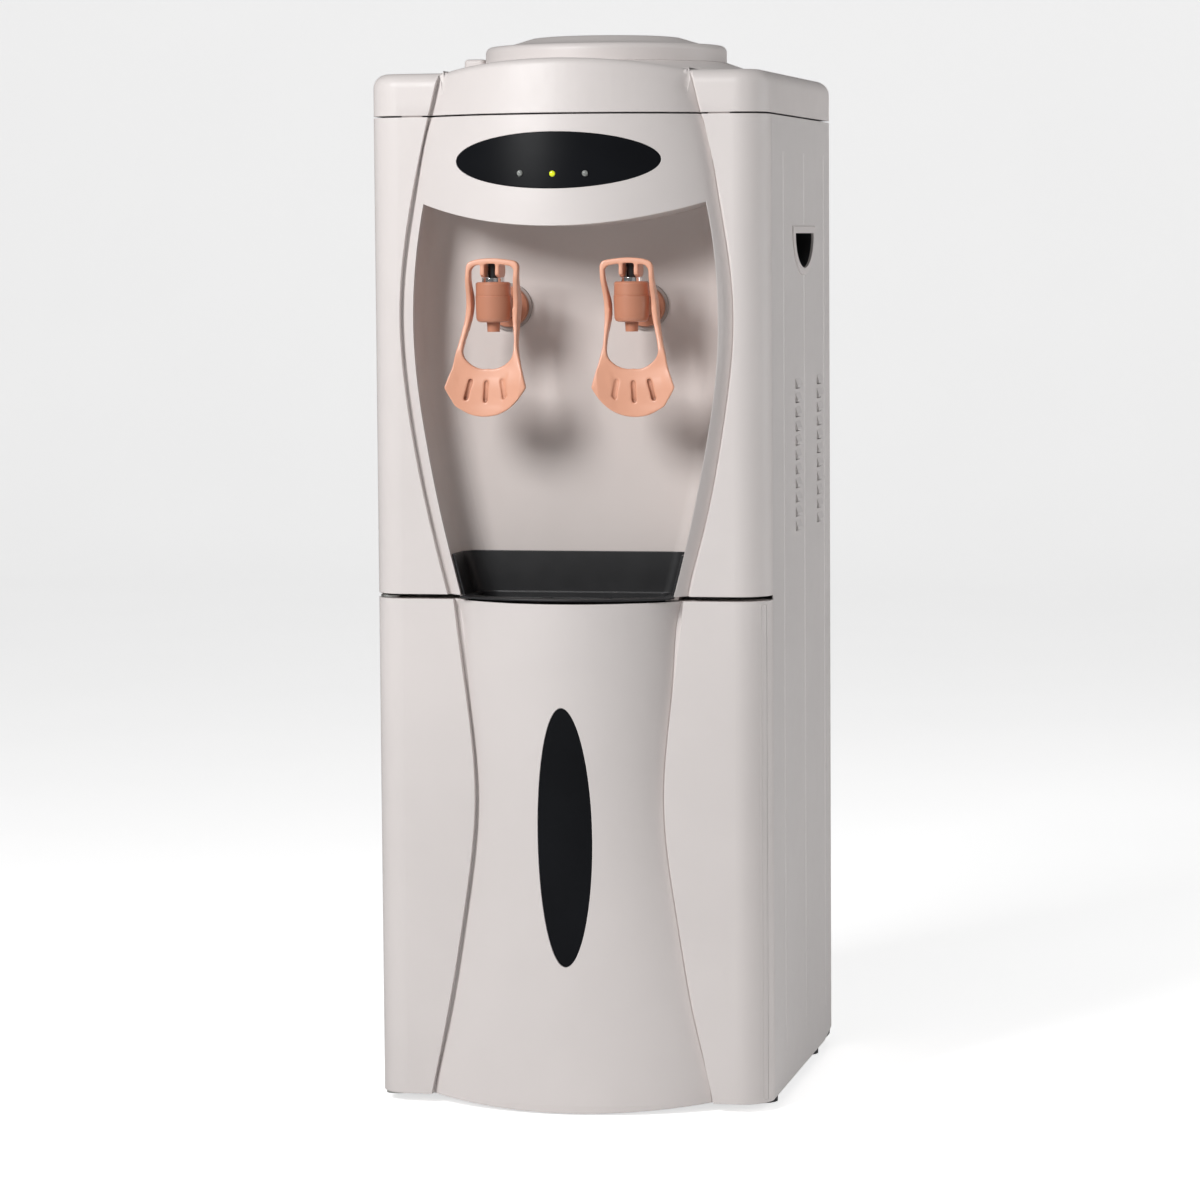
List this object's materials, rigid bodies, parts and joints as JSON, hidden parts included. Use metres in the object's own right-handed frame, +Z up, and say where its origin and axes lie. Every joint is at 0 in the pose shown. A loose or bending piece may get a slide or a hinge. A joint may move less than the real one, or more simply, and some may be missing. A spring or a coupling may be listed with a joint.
{
  "type": "water cooler",
  "caption": "Free-standing water dispenser with a bottle seat on top, push-lever taps in a curved recess, a lift-out drip tray and a storage cabinet with a hinged door.",
  "frame": {"origin": "on the floor, in the middle of the plan", "axes": "+Z up, -Y towards the front with the taps, +X to the viewer's right"},
  "size_m": [0.344, 0.4, 0.91],
  "materials": {
    "cover": "smooth satin-gloss moulding, warm white",
    "recess": "smooth satin moulding, warm light grey",
    "casing": "fine powder coat, warm white",
    "black_gloss": "polished black",
    "black_plastic": "satin black moulding",
    "tap": "satin peach moulding",
    "red_light": "lit translucent red",
    "dark_light": "unlit translucent dark lens",
    "chrome": "polished",
    "steel": "zinc plated",
    "stainless": "brushed",
    "liner": "smooth matt moulding",
    "foam": "fine bead foam",
    "silicone": "soft translucent white",
    "rubber": "matt black",
    "board": "green lacquered board",
    "aluminium": "extruded, plain",
    "switch_red": "translucent red",
    "switch_green": "translucent green"
  },
  "bodies": {
    "cabinet": {"base_pan": "black_plastic", "left_side_panel": "casing", "right_side_panel": "casing", "back_panel": "casing", "upper_front_panel": "cover", "top_cover": "cover", "dispensing_recess": "recess", "display_window": "black_gloss", "indicator_board": "board", "lit_indicator": "red_light", "unlit_indicators": "dark_light", "left_grip": "cover", "right_grip": "cover", "mid_deck": "steel", "cabinet_liner": "liner", "cold_tank": "stainless", "cold_tank_insulation": "foam", "tank_baffle": "liner", "tank_bracket": "steel", "hot_tank": "stainless", "hot_tank_jacket": "foam", "heater_band": "aluminium", "thermostats": "black_plastic", "cold_block": "aluminium", "heat_sink": "aluminium", "fan_frame": "black_plastic", "cold_hose": "silicone", "hot_feed_hose": "silicone", "hot_hose": "silicone", "drain_pipe": "silicone", "power_board": "board", "feet": "rubber", "screws": "steel", "cord_gland": "black_plastic", "switch_housing": "black_plastic", "hinge_brackets": "steel", "catch_plate": "steel", "left_tap_body": "tap", "right_tap_body": "tap", "left_tap_bonnet": "tap", "right_tap_bonnet": "tap", "tap_washers": "chrome", "tap_nuts": "black_plastic", "tap_wall_seals": "silicone"},
    "door": {"door_shell": "cover", "door_liner": "liner", "door_insert": "black_gloss", "door_bushes": "liner", "door_magnet": "rubber"},
    "left_stem": {"left_stem": "black_plastic"},
    "left_lever": {"left_lever": "tap"},
    "right_stem": {"right_stem": "black_plastic"},
    "right_lever": {"right_lever": "tap"},
    "drip_tray": {"drip_tray": "black_plastic"},
    "drip_grille": {"drip_grille": "black_plastic"},
    "bottle_seat": {"bottle_seat": "cover"},
    "heater_switch": {"heater_switch": "switch_red"},
    "cooler_switch": {"cooler_switch": "switch_green"},
    "drain_cap": {"drain_cap": "black_plastic"},
    "fan_rotor": {"fan_rotor": "black_plastic"}
  },
  "joints": [
    {"name": "door_swing", "type": "hinge", "parent": "cabinet", "child": "door", "pos_m": [-0.158, -0.1305, 0.22], "axis": [0, 0, -1], "range_deg": [0, 110]},
    {"name": "left_stem_lift", "type": "slide", "parent": "cabinet", "child": "left_stem", "axis": [0, 0, 1], "range_m": [0, 0.0025]},
    {"name": "left_lever_press", "type": "hinge", "parent": "left_stem", "child": "left_lever", "pos_m": [-0.059, -0.1605, 0.711], "axis": [1, 0, 0], "range_deg": [0, 20], "stiffness_Nm_per_rad": 0.4, "springref_deg": -28.65},
    {"name": "right_stem_lift", "type": "slide", "parent": "cabinet", "child": "right_stem", "axis": [0, 0, 1], "range_m": [0, 0.0025]},
    {"name": "right_lever_press", "type": "hinge", "parent": "right_stem", "child": "right_lever", "pos_m": [0.059, -0.1605, 0.711], "axis": [1, 0, 0], "range_deg": [0, 20], "stiffness_Nm_per_rad": 0.4, "springref_deg": -28.65},
    {"name": "tray_lift", "type": "slide", "parent": "cabinet", "child": "drip_tray", "axis": [0, 0, 1], "range_m": [0, 0.07]},
    {"name": "grille_lift", "type": "slide", "parent": "drip_tray", "child": "drip_grille", "axis": [0, 0, 1], "range_m": [0, 0.07]},
    {"name": "seat_lift", "type": "slide", "parent": "cabinet", "child": "bottle_seat", "axis": [0, 0, 1], "range_m": [0, 0.1]},
    {"name": "heater_switch_rock", "type": "hinge", "parent": "cabinet", "child": "heater_switch", "pos_m": [0.105, 0.1905, 0.651], "axis": [1, 0, 0], "range_deg": [-16, 0]},
    {"name": "cooler_switch_rock", "type": "hinge", "parent": "cabinet", "child": "cooler_switch", "pos_m": [0.105, 0.1905, 0.629], "axis": [1, 0, 0], "range_deg": [-16, 0]},
    {"name": "drain_cap_off", "type": "slide", "parent": "cabinet", "child": "drain_cap", "axis": [0, 1, 0], "range_m": [0, 0.03]},
    {"name": "fan_spin", "type": "hinge", "parent": "cabinet", "child": "fan_rotor", "pos_m": [0, 0.1695, 0.775], "axis": [0, 1, 0], "continuous": true}
  ],
  "couplings": [
    {"joint": "left_stem_lift", "follows": "left_lever_press", "m_per_rad": 0.007},
    {"joint": "right_stem_lift", "follows": "right_lever_press", "m_per_rad": 0.007}
  ]
}
